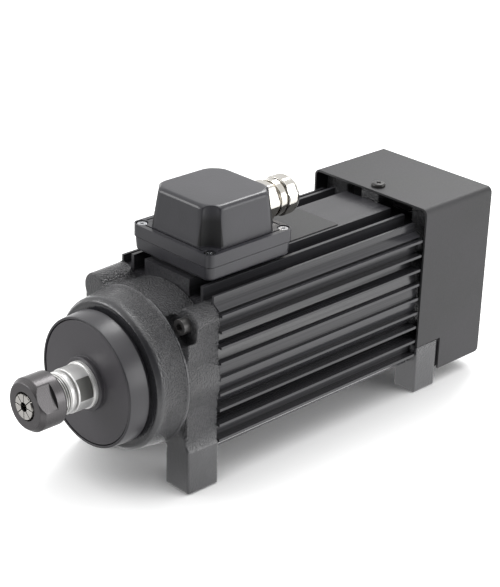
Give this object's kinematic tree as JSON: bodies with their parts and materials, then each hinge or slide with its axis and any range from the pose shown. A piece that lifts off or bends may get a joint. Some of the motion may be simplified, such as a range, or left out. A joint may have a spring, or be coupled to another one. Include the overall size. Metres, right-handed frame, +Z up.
{
  "type": "spindle motor",
  "caption": "Air-cooled milling spindle motor with a finned square body, cast feet, fan hood, terminal box with cable gland, and a collet nut on its shaft.",
  "frame": {"origin": "centre of the foot screw pattern, on the plane that the feet stand on", "axes": "+Z up from the feet, +Y along the spindle from the collet nut towards the fan hood, +X to the side, away from the axis"},
  "size_m": [0.1032, 0.3624, 0.1732],
  "materials": {
    "body_anodised": "black anodised, satin",
    "cast_painted": "cast, black paint, fine orange peel",
    "hood_painted": "dark grey powder coat",
    "box_cast": "dark grey paint on die casting",
    "cover_black": "black oxide, turned",
    "disc_black": "black anodised, turned",
    "steel_ground": "ground and turned",
    "steel_nut": "turned, lightly polished",
    "steel_spring": "hardened",
    "steel_bearing": "polished bearing steel",
    "steel_zinc": "zinc plated",
    "steel_black": "black oxide",
    "laminations": "stacked sheet, varnished",
    "copper_wire": "enamelled copper wire",
    "nickel_brass": "nickel plated",
    "rubber_black": "matte",
    "plastic_black": "moulded",
    "plastic_cage": "phenolic resin",
    "plate_metal": "thin sheet, satin",
    "rotor_cast": "cast"
  },
  "bodies": {
    "housing": {"stator_housing": "body_anodised", "front_shield": "cast_painted", "rear_shield": "cast_painted", "front_bearing_cover": "cover_black", "bearing_cover_screws": "steel_black", "front_shield_screws": "steel_black", "rear_shield_screws": "steel_black", "stator_core": "laminations", "stator_windings": "copper_wire", "front_outer_rings": "steel_bearing", "rear_outer_ring": "steel_bearing", "wave_spring": "steel_spring", "outer_spacer": "steel_ground", "fan_hood": "hood_painted", "hood_grille": "hood_painted", "hood_screw": "steel_black", "terminal_box_gasket": "rubber_black", "terminal_box_base": "box_cast", "lid_gasket": "rubber_black", "terminal_box_lid": "box_cast", "lid_screws": "steel_zinc", "box_mounting_screws": "steel_zinc", "terminal_block": "plastic_black", "terminal_studs": "nickel_brass", "gland_body": "nickel_brass", "gland_seal": "rubber_black", "gland_locknut": "nickel_brass", "gland_dome_nut": "nickel_brass", "gland_insert": "rubber_black", "name_plate": "plate_metal"},
    "spindle": {"spindle_shaft": "steel_ground", "rotor_core": "laminations", "rotor_end_rings": "rotor_cast", "front_inner_rings": "steel_bearing", "inner_spacer": "steel_ground", "rear_inner_ring": "steel_bearing", "bearing_locknut": "steel_black", "labyrinth_disc": "disc_black", "fan_wheel": "plastic_black", "fan_retaining_ring": "steel_spring"},
    "front_cage": {"front_bearing_cages": "plastic_cage", "front_bearing_balls": "steel_bearing"},
    "rear_cage": {"rear_bearing_cage": "plastic_cage", "rear_bearing_balls": "steel_bearing"},
    "collet": {"collet": "steel_spring"},
    "nut": {"clamping_nut": "steel_nut", "nut_extractor_ring": "steel_spring"}
  },
  "joints": [
    {"name": "spindle_spin", "type": "hinge", "parent": "housing", "child": "spindle", "pos_m": [0, 0, 0.071], "axis": [0, 1, 0], "continuous": true},
    {"name": "front_cage_spin", "type": "hinge", "parent": "housing", "child": "front_cage", "pos_m": [0, -0.115, 0.071], "axis": [0, 1, 0], "continuous": true},
    {"name": "rear_cage_spin", "type": "hinge", "parent": "housing", "child": "rear_cage", "pos_m": [0, 0.106, 0.071], "axis": [0, 1, 0], "continuous": true},
    {"name": "collet_slide", "type": "slide", "parent": "spindle", "child": "collet", "axis": [0, -1, 0], "range_m": [0, 0.0046]},
    {"name": "nut_turn", "type": "hinge", "parent": "collet", "child": "nut", "pos_m": [0, -0.19, 0.071], "axis": [0, -1, 0], "range_deg": [0, 1080]}
  ],
  "couplings": [
    {"joint": "front_cage_spin", "follows": "spindle_spin", "ratio": 0.40217},
    {"joint": "rear_cage_spin", "follows": "spindle_spin", "ratio": 0.3807},
    {"joint": "collet_slide", "follows": "nut_turn", "m_per_rad": 0.00023873}
  ]
}
